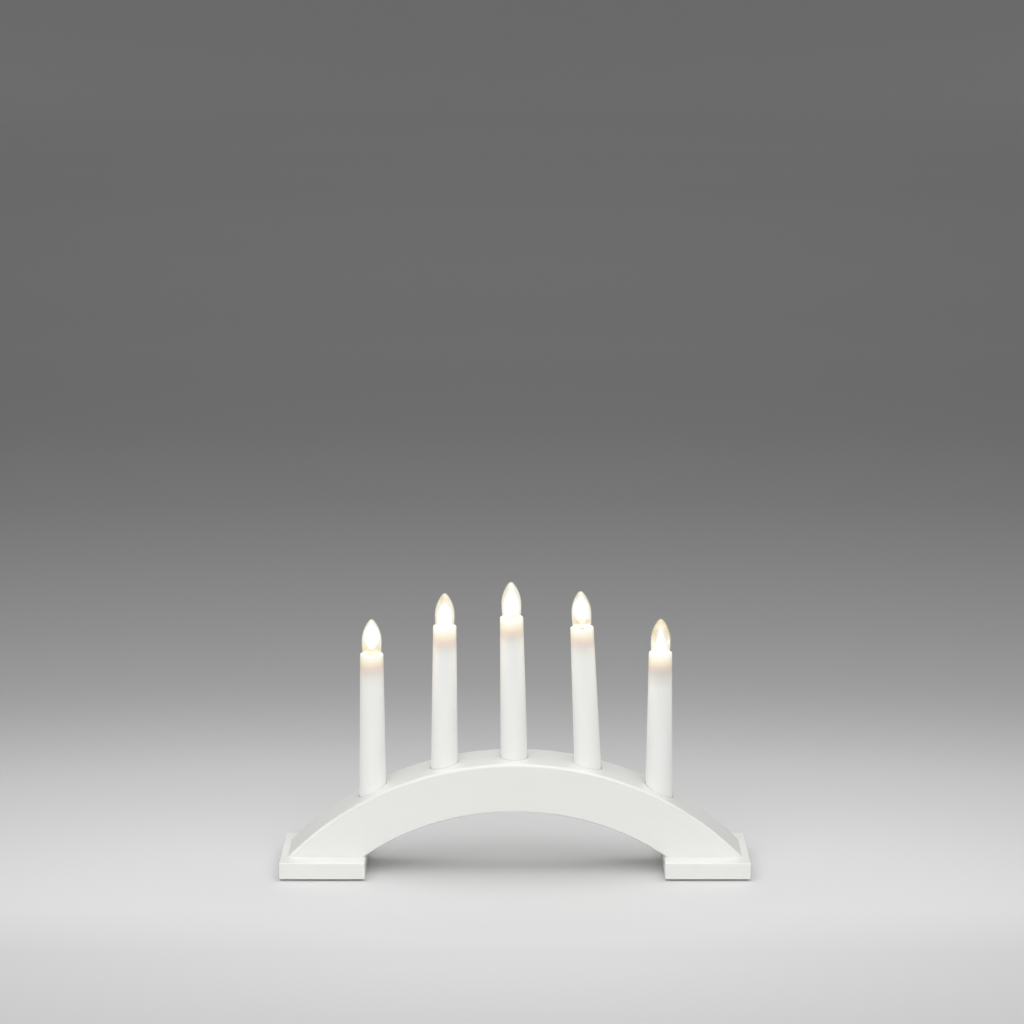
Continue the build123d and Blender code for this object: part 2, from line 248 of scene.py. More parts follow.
def rounded_normal(look):
    """The true normal of the band's faces and rounded edges, which their long facets only come near."""
    offset = look.vector("SUBTRACT", look.place, (0, 0, ARCH_CENTRE_Z))
    flat = look.vector("MULTIPLY", offset, (1, 0, 1))
    radius = look.vector("LENGTH", flat)
    across = look.vector("DOT_PRODUCT", offset, (0, 1, 0))
    is_outer = look.math("GREATER_THAN", radius, ARCH_MIDDLE_RADIUS)
    rounding = look.span(is_outer, 0, 1, ARCH_INNER_ROUND, ARCH_OUTER_ROUND)
    over = look.math("MAXIMUM", look.math("SUBTRACT", radius, ARCH_OUTER_RADIUS - ARCH_OUTER_ROUND), 0)
    under = look.math("MAXIMUM", look.math("SUBTRACT", ARCH_INNER_RADIUS + ARCH_INNER_ROUND, radius), 0)
    outermost = look.math("ADD", look.math("ABSOLUTE", across), rounding)
    aside = look.math("MAXIMUM", look.math("SUBTRACT", outermost, arch_high.y), 0)
    outward = look.vector("MULTIPLY", look.vector("NORMALIZE", flat), look.math("SUBTRACT", over, under))
    sideways = look.node("ShaderNodeCombineXYZ")
    look.join(look.math("MULTIPLY", aside, look.math("SIGN", across)), sideways.inputs[1])
    reach = look.vector("ADD", outward, sideways.outputs[0])
    on_round = look.math("MINIMUM", look.math("MAXIMUM", over, under), aside)
    tolerance = look.span(on_round, 0, SKIN_TOLERANCE, SKIN_TOLERANCE, ROUND_TOLERANCE)
    error = look.math("ABSOLUTE", look.math("SUBTRACT", look.vector("LENGTH", reach), rounding))
    on_skin = look.math("LESS_THAN", error, tolerance)
    facet = look.node("ShaderNodeNewGeometry").outputs["Normal"]
    return look.mix(on_skin, facet, look.vector("NORMALIZE", reach))


def height_over_rim_mm(look, n):
    """Height over the rim of candle n, in millimetres, measured along its axis."""
    rim = bulb_point(n) + candle_axis(n) * RIM_HEIGHTS_MM[n] * MM
    offset = look.vector("SUBTRACT", look.place, tuple(rim))
    return look.math("DIVIDE", look.vector("DOT_PRODUCT", offset, tuple(candle_axis(n))), MM)


PLASTIC = (0.76, 0.76, 0.745)
THROUGH_LIGHT = (0.15, 0.15, 0.143)      # light that the white plastic carries down from the bulb
GLOW_REACH_MM = 34.0
GLOW_WAVE_MM = 1.2                       # unevenness of the bands
SPECK_SHOWS = 0.03
TUBE_BANDS = [
    # depth under the rim in millimetres, colour with painted light and shade, light from inside, and how much
    # a deep collar shades it
    (0.0, PLASTIC, (0.38, 0.385, 0.30), 0.0),
    (2.1, (0.76, 0.745, 0.69), (0.39, 0.40, 0.33), 0.0),
    (5.6, (0.745, 0.705, 0.635), (0.335, 0.31, 0.215), 0.0),
    (7.4, (0.735, 0.675, 0.60), (0.305, 0.28, 0.18), 0.0),
    (9.1, (0.72, 0.655, 0.59), (0.294, 0.244, 0.137), 0.1),
    (10.8, (0.71, 0.648, 0.59), (0.236, 0.165, 0.089), 0.2),
    (12.6, (0.70, 0.64, 0.59), (0.193, 0.127, 0.069), 0.45),
    (16.0, (0.70, 0.668, 0.634), (0.141, 0.102, 0.071), 0.85),
    (19.5, (0.72, 0.70, 0.68), (0.14, 0.134, 0.10), 1.0),
    (23.8, (0.745, 0.74, 0.725), (0.148, 0.148, 0.126), 0.8),
    (31.0, PLASTIC, THROUGH_LIGHT, 0.25),
]
SIDE_REACH_MM = 90.0
SIDE_LIGHT = [
    # depth under the rim in millimetres, and light of the bulbs on the sides of the tube
    (0.0, 0.13), (5.0, 0.11), (8.5, 0.09), (13.0, 0.13), (20.0, 0.17),
    (29.0, 0.15), (42.0, 0.12), (60.0, 0.06), (76.0, 0.02), (90.0, 0.0),
]
SIDE_COLOR = (1.0, 0.88, 0.7, 1)
SIDE_FROM_MM, SIDE_TO_MM = 2.0, 9.8      # distance from the axis, to the left or right
TUBE_FITS = {
    # how far the bands move up in millimetres, shade of the collar, light on the left side and on the right
    1: (1.6, 0.0, 0.3, 0.3),
    2: (0.2, 0.0, 1.1, 0.8),
    3: (0.4, 0.0, 1.0, 0.9),
    4: (1.4, 0.0, 0.7, 0.85),
    5: (0.6, 0.17, 0.8, 0.6),
}


def tube_look(n):
    """White moulded plastic with painted light and shade. The bulb lights its top from inside, and the collar
    shades it lower down.
    """
    rise, shade, left, right = TUBE_FITS[n]
    look = Look(f"candle_plastic_{n}", PLASTIC, 0.3, Coat_Weight=0.1, Coat_Roughness=0.15,
                Sheen_Weight=0.2, Sheen_Roughness=0.45, Sheen_Tint=(1.0, 0.95, 0.86, 1))
    height = look.math("SUBTRACT", height_over_rim_mm(look, n), rise)
    wave = look.span(look.noise(look.place, scale=90.0, detail=2.0), 0, 1, -GLOW_WAVE_MM, GLOW_WAVE_MM)
    below = look.span(look.math("ADD", height, wave), 0, -GLOW_REACH_MM)
    colors, lights = [], []
    for depth, color, light, under_collar in TUBE_BANDS:
        colors.append((depth / GLOW_REACH_MM, tinted(color, 1 - shade * under_collar)))
        lights.append((depth / GLOW_REACH_MM, light))
    speck = look.noise(look.place, scale=700.0, detail=2.0)
    grain = look.ramp(speck, [(0.3, gray(0.6)), (0.7, gray(1.0))])
    # painted light and shade: the bands' colours turn warmer and darker under the rim
    look.color(look.mix(SPECK_SHOWS, look.ramp(below, colors, smooth=False), grain, "MULTIPLY"))
    look.rough(look.noise(look.place, scale=120.0), 0.25, 0.38)
    look.bump((speck, 0.05, 0.00005))
    offset = look.vector("SUBTRACT", look.place, tuple(bulb_point(n)))
    across = look.vector("DOT_PRODUCT", offset, tuple(candle_matrix(n).col[0].xyz / MM))
    on_left = look.span(across, -SIDE_FROM_MM, -SIDE_TO_MM, 0, left)
    on_right = look.span(across, SIDE_FROM_MM, SIDE_TO_MM, 0, right)
    stops = [(depth / SIDE_REACH_MM, gray(light)) for depth, light in SIDE_LIGHT]
    down = look.ramp(look.span(height, 0, -SIDE_REACH_MM), stops, smooth=False)
    side_light = look.math("MULTIPLY", look.math("ADD", on_left, on_right), down)
    # painted light: the tube glows from inside and on its sides
    look.glow(look.mix(side_light, look.ramp(below, lights, smooth=False), SIDE_COLOR, "ADD"), 1.0)
    return look.material


# painted reflections: the glass colour and glow where a reflection of the filament is painted on it
CLEAR_GLASS, FILAMENT_REFLECTION_COLOR = (1.0, 0.99, 0.97, 1), (0.93, 0.84, 0.64, 1)
CLEAR_LIGHT, FILAMENT_REFLECTION_GLOW = (0.17, 0.165, 0.135, 1), (0.12, 0.095, 0.04, 1)
PAINTED_FILAMENT_REFLECTIONS = {
    # painted reflections of the filament: each patch's x, y and height, its reach and half height, in
    # millimetres, and its strength
    1: [
        (-6.0, -5.0, 5.5, 5.5, 8.0, 1.0), (6.0, -5.0, 5.5, 5.5, 8.0, 0.9), (0, -7.0, 4.0, 9.0, 4.0, 0.9),
    ],
    2: [
        (-0.8, -3.0, 26.0, 4.8, 5.0, 1.0), (7.5, -3.0, 5.0, 4.5, 12.0, 0.5),
        (-7.5, -3.0, 5.0, 4.5, 12.0, 0.5),
    ],
    3: [(3.0, -6.0, 1.0, 8.5, 5.0, 0.5), (-3.0, -2.0, 22.0, 6.0, 8.0, 0.35)],
    4: [
        (-4.0, -6.0, 6.0, 7.0, 5.5, 0.9), (4.5, -6.0, 4.8, 6.5, 4.0, 0.8), (-1.5, -2.0, 27.0, 4.0, 4.0, 0.5),
        (5.0, -1.0, 22.0, 4.0, 7.0, 0.5),
    ],
    5: [
        (-6.0, -3.5, 19.0, 5.4, 10.0, 1.0), (6.0, -3.5, 20.0, 5.2, 9.0, 1.0), (0, -1.0, 26.0, 6.0, 8.0, 1.0),
        (6.5, -5.0, 4.5, 4.0, 6.0, 0.8),
    ],
}


def glass_look(n):
    """Clear glass, bright with the light inside it. Amber reflections of the filament are painted on it in
    places.
    """
    look = Look(f"bulb_glass_{n}", (1.0, 0.99, 0.96), 0.02, Transmission_Weight=1.0, IOR=1.47)
    share = None
    for x, y, height, reach, half_height, strength in PAINTED_FILAMENT_REFLECTIONS[n]:
        spot = candle_matrix(n) @ Vector((x * MM, y * MM, height * MM))
        offset = look.vector("SUBTRACT", look.place, tuple(spot))
        offset = look.vector("DIVIDE", offset, (reach * MM, reach * MM, half_height * MM))
        near = look.span(look.vector("LENGTH", offset), 1.0, 0.25, 0.0, strength)
        share = near if share is None else look.math("MAXIMUM", share, near)
    tall = look.stretched(look.place, (1.0, 1.0, 0.4))
    ripple = look.noise(tall, scale=420.0, detail=2.0, roughness=0.6)
    share = look.math("MULTIPLY", share, look.span(ripple, 0.3, 0.6, 0.55, 1.0))
    # painted reflection: the glass is tinted amber and glows less where the filament's reflection is painted
    look.color(look.mix(share, CLEAR_GLASS, FILAMENT_REFLECTION_COLOR))
    look.glow(look.mix(share, CLEAR_LIGHT, FILAMENT_REFLECTION_GLOW), 1.0)
    look.bump((look.noise(look.place, scale=160.0, detail=1.0), 0.08, 0.0004))
    return look.material


def glow_look(name, color, strength, alpha):
    """A clear body that gives light and reflects none."""
    look = Look(name, (0, 0, 0), 1.0, Alpha=alpha)
    look.shader.inputs["Specular IOR Level"].default_value = 0.0
    look.glow((*color, 1), strength)
    return look.material


def metal_look(name, color, roughness, scratch=0.12):
    """Metal with fine streaks round it and a stain here and there."""
    look = Look(name, color, roughness, Metallic=1.0)
    flattened = look.stretched(look.place, (1.0, 1.0, 12.0))
    streak = look.noise(flattened, scale=260.0, detail=4.0, roughness=0.6)
    stain = look.noise(look.place, scale=140.0)
    look.color(look.ramp(stain, [(0.25, tinted(color, 0.82)), (0.65, color)]))
    look.rough(streak, roughness - scratch / 2, roughness + scratch)
    look.bump((streak, 0.08, 0.00005))
    return look.material


def moulded_look(name, color, roughness):
    """Moulded plastic or glass with a fine grain."""
    look = Look(name, color, roughness)
    grain = look.noise(look.place, scale=1100.0, detail=2.0)
    cloud = look.noise(look.place, scale=80.0, detail=2.0)
    look.color(look.ramp(cloud, [(0.3, tinted(color, 0.95)), (0.7, color)]))
    look.rough(grain, roughness - 0.06, roughness + 0.08)
    look.bump((grain, 0.15, 0.00006))
    return look.material


def felt_look():
    """Gray wool felt: fine fibres in small tufts."""
    color = (0.55, 0.54, 0.52)
    look = Look("felt", color, 0.95, Sheen_Weight=0.3, Sheen_Roughness=0.6)
    fibre = look.noise(look.place, scale=2600.0, detail=5.0, roughness=0.7)
    tuft = look.noise(look.place, scale=700.0, detail=4.0, roughness=0.65)
    stops = [(0.3, tinted(color, 0.6)), (0.65, tinted(color, 1.15))]
    look.color(look.ramp(look.mix(0.5, fibre, tuft), stops))
    look.bump((tuft, 0.6, 0.0003), (fibre, 0.5, 0.0001))
    return look.material


def painted_board_look():
    """Fibre board bent along the arch, thinly painted white."""
    color = (0.83, 0.825, 0.8)
    look = Look("white_cover", color, 0.5)
    along = look.stretched(bent_place(look), (60.0, 260.0, 260.0))
    fibre = look.noise(along, scale=1.0, detail=5.0, roughness=0.6)
    look.color(look.ramp(fibre, [(0.3, tinted(color, 0.93)), (0.6, color)]))
    look.rough(fibre, 0.42, 0.6)
    look.bump((fibre, 0.3, 0.0002))
    return look.material


def dress(node_name, material):
    """Gives a CAD node its finish."""
    mesh = nodes[node_name].data
    for i in range(len(mesh.materials)):
        mesh.materials[i] = material


arch_finish = lacquer_look("white_lacquer_arch", bent_place, normal_of=rounded_normal)
block_finish = lacquer_look("white_lacquer_blocks", straight_place, shade=BLOCK_PAINTED_SHADE)
brass = metal_look("brass", (0.78, 0.6, 0.3), 0.3)
cap_metal = metal_look("bulb_cap_metal", (0.8, 0.68, 0.44), 0.28)
zinc = metal_look("zinc_steel", (0.68, 0.69, 0.7), 0.36)
solder = metal_look("solder", (0.66, 0.66, 0.67), 0.42)
filament_metal = metal_look("lead_wire", (0.72, 0.68, 0.62), 0.3)
holder_plastic = moulded_look("holder_plastic", (0.8, 0.79, 0.75), 0.42)
bush_plastic = moulded_look("white_bush", (0.86, 0.86, 0.84), 0.35)
insulation = moulded_look("wire_insulation", (0.84, 0.84, 0.81), 0.45)
black_glass = moulded_look("black_insulator", (0.03, 0.03, 0.035), 0.2)
felt = felt_look()
cover_finish = painted_board_look()

FINISHES = {
    "arch": arch_finish,
    "foot_block_left": block_finish,
    "foot_block_right": block_finish,
    "felt_pads": felt,
    "foot_screws": zinc,
    "cover_tacks": zinc,
    "cover_strip": cover_finish,
    "cord_bush": bush_plastic,
}
CANDLE_FINISHES = {
    "lampholder": holder_plastic,
    "screw_shell": brass,
    "centre_contact": brass,
    "bulb_cap": cap_metal,
    "bulb_insulator": black_glass,
    "bulb_contact": solder,
    "bulb_mount": filament_metal,
}

for name, finish in FINISHES.items():
    dress(name, finish)
for name in nodes:
    if "wire_" in name:
        dress(name, insulation)
for n in CANDLES:
    dress(f"candle_tube_{n}", tube_look(n))
    dress(f"bulb_glass_{n}", glass_look(n))
    for part, finish in CANDLE_FINISHES.items():
        dress(f"{part}_{n}", finish)


# Mesh helpers

def mesh_object(name, vertices, faces, material, smooth=True):
    """An object of its own mesh with one material."""
    mesh = bpy.data.meshes.new(name)
    mesh.from_pydata(vertices, [], faces)
    mesh.validate()
    mesh.update()
    mesh.materials.append(material)
    for polygon in mesh.polygons:
        polygon.use_smooth = smooth
    made = bpy.data.objects.new(name, mesh)
    bpy.context.scene.collection.objects.link(made)
    return made


def lathe(name, outline, material, sides=48):
    """Turns a closed outline of (radius, height) about Z. Points on the axis become single vertices."""
    vertices, faces, rings = [], [], []
    for radius, height in outline:
        if radius == 0:
            rings.append([len(vertices)] * sides)
            vertices.append((0, 0, height))
            continue
        start = len(vertices)
        for s in range(sides):
            angle = TURN * s / sides
            vertices.append((radius * math.cos(angle), radius * math.sin(angle), height))
        rings.append(list(range(start, start + sides)))
    for low, high in zip(rings, rings[1:] + rings[:1]):
        for s in range(sides):
            t = (s + 1) % sides
            corners = [low[s], low[t], high[t], high[s]]
            face = [v for k, v in enumerate(corners) if v not in corners[:k]]
            if len(face) > 2:
                faces.append(face)
    return mesh_object(name, vertices, faces, material)


def skin(name, rings, material, loop=False):
    """Joins equal rings of points into one surface. Its ends are closed, or the last ring meets the first."""
    count = len(rings[0])
    vertices = [point for ring in rings for point in ring]
    faces = []
    pairs = list(zip(range(len(rings)), range(1, len(rings))))
    if loop:
        pairs.append((len(rings) - 1, 0))
    for low, high in pairs:
        for s in range(count):
            t = (s + 1) % count
            faces.append((low * count + s, low * count + t, high * count + t, high * count + s))
    if not loop:
        faces.append(tuple(reversed(range(count))))
        faces.append(tuple(range(len(vertices) - count, len(vertices))))
    return mesh_object(name, vertices, faces, material)


def ring_at(height_mm, radius_at, sides=48):
    """A ring about Z. The radius goes with the height and with the share of a turn."""
    ring = []
    for s in range(sides):
        angle = TURN * s / sides
        radius = radius_at(height_mm, s / sides) * MM
        ring.append((radius * math.cos(angle), radius * math.sin(angle), height_mm * MM))
    return ring


def flat_ring(height_mm, radius_mm, sides=48):
    return ring_at(height_mm, lambda h, share: radius_mm, sides)


def flat_rings(base_mm, table, sides=48):
    """Rings from (height over the base, radius) pairs in millimetres."""
    return [flat_ring(base_mm + height, radius, sides) for height, radius in table]


def rings_between(low, high, radius_at, steps, sides=48):
    """Evenly spaced rings from one height to another, in millimetres."""
    return [ring_at(low + (high - low) * k / steps, radius_at, sides) for k in range(steps + 1)]


def tube_along(name, points, radius_mm, material, sides=8):
    """A round wire through points in millimetres."""
    points = [Vector(p) * MM for p in points]
    rings = []
    side = None
    for k, point in enumerate(points):
        along = (points[min(k + 1, len(points) - 1)] - points[max(k - 1, 0)]).normalized()
        side = (side - along * side.dot(along)).normalized() if side else along.orthogonal().normalized()
        other = along.cross(side)
        ring = []
        for s in range(sides):
            angle = TURN * s / sides
            ring.append(point + (side * math.cos(angle) + other * math.sin(angle)) * radius_mm * MM)
        rings.append(ring)
    return skin(name, rings, material)


def part_of_candle(piece, n, body, slot, *replaced):
    """Sets a piece made about the Z axis on its candle, in place of CAD nodes."""
    piece.matrix_world = candle_matrix(n)
    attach(piece, body)
    if replaced:
        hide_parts(*replaced)


# Screw caps and shells, in millimetres. Their rolled threads keep in step while a bulb is turned out.

THREAD_PITCH_MM = 1.814
THREAD_DEPTH_MM = 0.42
THREAD_TOP_MM = -8.3
THREAD_FADE_MM = 0.5
THREAD_STEPS = 56
SHEET_MM = 0.35

CAP_RADIUS_MM = 4.65
CAP_BOTTOM_MM = -15.0
CAP_TOP_MM = -6.4
CAP_THREAD_MM = (CAP_BOTTOM_MM - 1, THREAD_TOP_MM)
CAP_FOOT_MM = [(0, 3.5), (0, 3.8), (0.12, 4.05)]     # heights over the bottom, and radii
CAP_FLOOR_MM = [(0.6, 3.8), (0.6, 3.5)]              # the same, of the bottom's inner face
CAP_RIM_MM = [(-0.08, 4.6), (0, 4.48), (-0.1, 4.32)]           # heights over the top, and radii
CAP_WALL_FROM_MM, CAP_WALL_TO_MM = 0.5, 0.25         # room between the threaded wall and the cap's ends
CAP_INSIDE_FROM_MM, CAP_INSIDE_TO_MM = 0.1, 0.3      # room between the ends of its outer and inner face
CAP_INSIDE_STEPS = 52

SHELL_RADIUS_MM = 4.85
SHELL_BOTTOM_MM = -17.2
SHELL_TOP_MM = -7.4
SHELL_THREAD_MM = (SHELL_BOTTOM_MM + 0.8, THREAD_TOP_MM + 0.2)
SHELL_FOOT_MM = [(0, 3.0), (0, 5.05)]
SHELL_RIM_MM = [(0, 5.1), (0, 4.95)]
SHELL_FLOOR_MM = [(SHEET_MM, 3.0)]
SHELL_WALL_FROM_MM, SHELL_WALL_TO_MM = 0.15, 0.12


def thread_dip(height, share, low, high):
    """How far a rolled thread is drawn in from its crest."""
    wave = 0.5 - 0.5 * math.cos(TURN * (height / THREAD_PITCH_MM - share))
    fade = min(1, max(0, (height - low) / THREAD_FADE_MM), max(0, (high - height) / THREAD_FADE_MM))
    return THREAD_DEPTH_MM * wave * fade


def cap_outside(height, share):
    return CAP_RADIUS_MM - thread_dip(height, share, *CAP_THREAD_MM)


def cap_inside(height, share):
    return cap_outside(height, share) - SHEET_MM


def shell_inside(height, share):
    return SHELL_RADIUS_MM - thread_dip(height, share, *SHELL_THREAD_MM)


def shell_outside(height, share):
    return shell_inside(height, share) + SHEET_MM


def threaded_cap(name, material):
    low, high = CAP_BOTTOM_MM + CAP_WALL_FROM_MM, CAP_TOP_MM - CAP_WALL_TO_MM
    inside_top, inside_low = high - CAP_INSIDE_FROM_MM, low + CAP_INSIDE_TO_MM
    rings = flat_rings(CAP_BOTTOM_MM, CAP_FOOT_MM)
    rings += rings_between(low, high, cap_outside, THREAD_STEPS)
    rings += flat_rings(CAP_TOP_MM, CAP_RIM_MM)
    rings += rings_between(inside_top, inside_low, cap_inside, CAP_INSIDE_STEPS)
    rings += flat_rings(CAP_BOTTOM_MM, CAP_FLOOR_MM)
    return skin(name, rings, material, loop=True)


def threaded_shell(name, material):
    inside_low, high = SHELL_BOTTOM_MM + SHEET_MM, SHELL_TOP_MM - SHELL_WALL_TO_MM
    rings = flat_rings(SHELL_BOTTOM_MM, SHELL_FOOT_MM)
    rings += rings_between(SHELL_BOTTOM_MM + SHELL_WALL_FROM_MM, high, shell_outside, THREAD_STEPS)
    rings += flat_rings(SHELL_TOP_MM, SHELL_RIM_MM)
    rings += rings_between(high, inside_low, shell_inside, THREAD_STEPS)
    rings += flat_rings(SHELL_BOTTOM_MM, SHELL_FLOOR_MM)
    return skin(name, rings, material, loop=True)


# Mounts: a pressed glass stem, two lead wires and a coiled filament

FLARE_MM = [
    # height, radius
    (-9.6, 3.3), (-9.1, 3.25), (-8.5, 2.75), (-7.2, 2.2), (-5.6, 1.8), (-4.0, 1.55),
]
PRESS_MM = [
    # height, half width, half depth
    (-3.0, 1.6, 1.05), (-2.2, 1.65, 0.75), (-1.75, 1.55, 0.66), (-1.6, 1.3, 0.5),
]
STEM_SIDES = 32
LEAD_POINTS_MM = [
    (0.8, 0, -2.9), (0.8, 0, -1.2), (0.95, 0, 0.6), (1.3, 0, 2.6),
    (1.8, 0, 4.9), (2.3, 0, 7.2), (2.55, 0, 8.4), (2.65, 0, 9.1),
]
LEAD_RADIUS_MM = 0.22
FILAMENT_REACH_MM = 2.6
FILAMENT_FOOT_MM = 9.0
FILAMENT_RISE_MM = 3.4
FILAMENT_LIGHT = 6.0
COIL_RADIUS_MM = 0.3
COIL_WIRE_RADIUS_MM = 0.06
COIL_WIRE_SIDES = 6
COIL_TURNS = 30
COIL_STEPS = 10                          # in a turn


def pressed_stem(name, material):
    """The flare that is sealed to the neck. Its top is pressed flat round the lead wires."""
    rings = flat_rings(0, FLARE_MM, STEM_SIDES)
    angles = [TURN * s / STEM_SIDES for s in range(STEM_SIDES)]
    for z, half_width, half_depth in PRESS_MM:
        rings.append([(half_width * math.cos(a) * MM, half_depth * math.sin(a) * MM, z * MM) for a in angles])
    return skin(name, rings, material)


def filament_points():
    """A fine coil along the arc between the tips of the lead wires."""
    radius = (FILAMENT_REACH_MM**2 + FILAMENT_RISE_MM**2) / (2 * FILAMENT_RISE_MM)
    middle = FILAMENT_FOOT_MM + FILAMENT_RISE_MM - radius
    end = math.atan2(FILAMENT_FOOT_MM - middle, FILAMENT_REACH_MM)
    points = []
    steps = COIL_TURNS * COIL_STEPS
    for k in range(steps + 1):
        angle = end + (math.pi - 2 * end) * k / steps
        out = Vector((math.cos(angle), 0, math.sin(angle)))
        coil = TURN * COIL_TURNS * k / steps
        shift = out * math.cos(coil) + Vector((0, 1, 0)) * math.sin(coil)
        points.append(Vector((0, 0, middle)) + out * radius + shift * COIL_RADIUS_MM)
    return points


stem_glass = Look("stem_glass", (0.96, 0.985, 0.97), 0.06, Transmission_Weight=1.0, IOR=1.5)
stem_glass.bump((stem_glass.noise(stem_glass.place, scale=420.0, detail=2.0), 0.25, 0.0002))
hot_wire = Look("hot_filament", (0.9, 0.5, 0.2), 0.5)
heat = hot_wire.noise(hot_wire.place, scale=500.0, detail=2.0)
hot_wire.glow(hot_wire.ramp(heat, [(0.3, (1.0, 0.74, 0.36)), (0.7, (1.0, 0.86, 0.6))]), FILAMENT_LIGHT)

for n in CANDLES:
    cap = threaded_cap(f"threaded_cap_{n}", cap_metal)
    shell = threaded_shell(f"threaded_shell_{n}", brass)
    part_of_candle(cap, n, f"bulb_{n}", "bulb_cap_metal", f"bulb_cap_{n}")
    part_of_candle(shell, n, "stand", "brass", f"screw_shell_{n}")
    mount = [pressed_stem(f"stem_{n}", stem_glass.material)]
    for side, side_name in ((-1, "left"), (1, "right")):
        points = [(side * x, y, z) for x, y, z in LEAD_POINTS_MM]
        mount.append(tube_along(f"lead_{n}_{side_name}", points, LEAD_RADIUS_MM, filament_metal))
    coil = tube_along(
        f"filament_{n}", filament_points(), COIL_WIRE_RADIUS_MM, hot_wire.material, COIL_WIRE_SIDES
    )
    for piece in mount + [coil]:
        part_of_candle(piece, n, f"bulb_{n}", "filament_mount", f"bulb_mount_{n}")


# Wood screws in the foot blocks. Heights are from the head's face up.

SCREW_XS_MM = (-173.6, -153.6, 153.6, 173.6)
SCREW_BOTTOM_MM = 1.9
SCREW_LENGTH_MM = 25.0
SCREW_RADIUS_MM = 2.0
SCREW_HEAD_MM = 2.4
SCREW_HEAD_RINGS_MM = [(0, 3.85), (0.14, 4.0), (0.4, 3.9), (SCREW_HEAD_MM, 1.8)]    # height, radius
SCREW_SHANK_MM = 5.0
SCREW_SHANK_SHARE = 0.86                 # of the radius over the thread's ridges
SCREW_CORE_SHARE, SCREW_RIDGE_SHARE = 0.7, 0.3
SCREW_PITCH_MM = 1.6
SCREW_RIDGE_HALF = 0.22                  # half width of the ridge, as a share of the pitch
SCREW_POINT_MM = 5.0
SCREW_POINT_POWER = 0.8                  # under 1 the point is rounded
SCREW_TIP_RADIUS_MM = 0.03
SCREW_NECK_MM, SCREW_END_MM = 0.3, 0.05  # from the head to the first ring, and from the last to the tip
SCREW_SIDES, SCREW_STEPS = 40, 110
RECESS_REACH_MM, RECESS_HALF_MM = 1.9, 0.42
RECESS_ENDS_MM = [
    # height, and an arm's size there, as shares of its reach and of its half width
    (-0.5, 1.1, 1.1), (1.4, 0.45, 0.8),
]


def screw_radius(height, share):
    """Plain shank, then the core with its thread, drawn in to the point."""
    if height < SCREW_HEAD_MM + SCREW_SHANK_MM:
        return SCREW_RADIUS_MM * SCREW_SHANK_SHARE
    point = min(1, (SCREW_LENGTH_MM - height) / SCREW_POINT_MM)**SCREW_POINT_POWER
    place = (height / SCREW_PITCH_MM + share) % 1.0
    ridge = max(0, 1 - abs(place - 0.5) / SCREW_RIDGE_HALF)
    return SCREW_RADIUS_MM * (SCREW_CORE_SHARE + SCREW_RIDGE_SHARE * ridge) * point + SCREW_TIP_RADIUS_MM


def recess_arm(turned, material):
    """One bar of the cross recess, drawn in towards its bottom."""
    corners = []
    for z, along, across in RECESS_ENDS_MM:
        for sx, sy in ((-1, -1), (1, -1), (1, 1), (-1, 1)):
            x, y = sx * RECESS_REACH_MM * along, sy * RECESS_HALF_MM * across
            corners.append((-y, x, z) if turned else (x, y, z))
    faces = [(3, 2, 1, 0), (4, 5, 6, 7)] + [(k, (k + 1) % 4, (k + 1) % 4 + 4, k + 4) for k in range(4)]
    return mesh_object("recess", [tuple(c * MM for c in v) for v in corners], faces, material, False)


def wood_screw(name, material):
    rings = flat_rings(0, SCREW_HEAD_RINGS_MM, SCREW_SIDES)
    low, high = SCREW_HEAD_MM + SCREW_NECK_MM, SCREW_LENGTH_MM - SCREW_END_MM
    rings += rings_between(low, high, screw_radius, SCREW_STEPS, SCREW_SIDES)
    screw = skin(name, rings, material)
    arms = [recess_arm(turned, material) for turned in (False, True)]
    for arm in arms:
        cut = screw.modifiers.new("recess", "BOOLEAN")
        cut.object = arm
        cut.operation = "DIFFERENCE"
    done = bpy.data.meshes.new_from_object(screw.evaluated_get(bpy.context.evaluated_depsgraph_get()))
    screw.modifiers.clear()
    screw.data = done
    for arm in arms:
        bpy.data.objects.remove(arm)
    return screw


for k, x in enumerate(SCREW_XS_MM, 1):
    screw = wood_screw(f"wood_screw_{k}", zinc)
    screw.location = (x * MM, 0, SCREW_BOTTOM_MM * MM)
    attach(screw, "stand")
    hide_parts("foot_screws")


# Felt pads

PAD_THICKNESS_MM = 1.5
PAD_ROW_MM = 26.0                        # from the middle of the arch to the front and to the back
PAD_PROFILE_MM = [
    # radius and height, from the middle of the bottom round to the middle of the top
    (0.4, 0), (5.0, 0), (7.55, 0.02), (7.85, 0.16), (8.0, 0.5),
    (7.96, 1.0), (7.8, 1.34), (7.5, 1.48), (5.0, PAD_THICKNESS_MM), (0.4, PAD_THICKNESS_MM),
]
PAD_RIM_FROM_MM = 7.0
PAD_RAG_MM = 0.22
PAD_FUZZ_MM = 0.05


def felt_disc(name, seed, sides=96):
    """A punched felt disc with a slightly ragged rim."""
    dice = random.Random(seed)
    ragged = [dice.uniform(0, PAD_RAG_MM) for s in range(sides)]
    rings = []
    for radius, z in PAD_PROFILE_MM:
        ring = []
        for s in range(sides):
            rag = ragged[s] if radius > PAD_RIM_FROM_MM else 0
            reach = radius - rag * (0.5 + 0.5 * dice.random())
            fuzz = dice.uniform(-PAD_FUZZ_MM, PAD_FUZZ_MM) if 0 < z < PAD_THICKNESS_MM else 0
            height = min(max(z + fuzz, 0), PAD_THICKNESS_MM)
            angle = TURN * s / sides
            ring.append((reach * math.cos(angle) * MM, reach * math.sin(angle) * MM, height * MM))
        rings.append(ring)
    return skin(name, rings, felt)


pad_number = 0
for block in ("foot_block_left", "foot_block_right"):
    low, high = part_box(block)
    for row in (-1, 1):
        pad_number += 1
        pad = felt_disc(f"felt_disc_{pad_number}", pad_number)
        pad.location = ((low.x + high.x) / 2, row * PAD_ROW_MM * MM, 0)
        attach(pad, "stand")
        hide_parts("felt_pads")


# Glow inside the bulbs

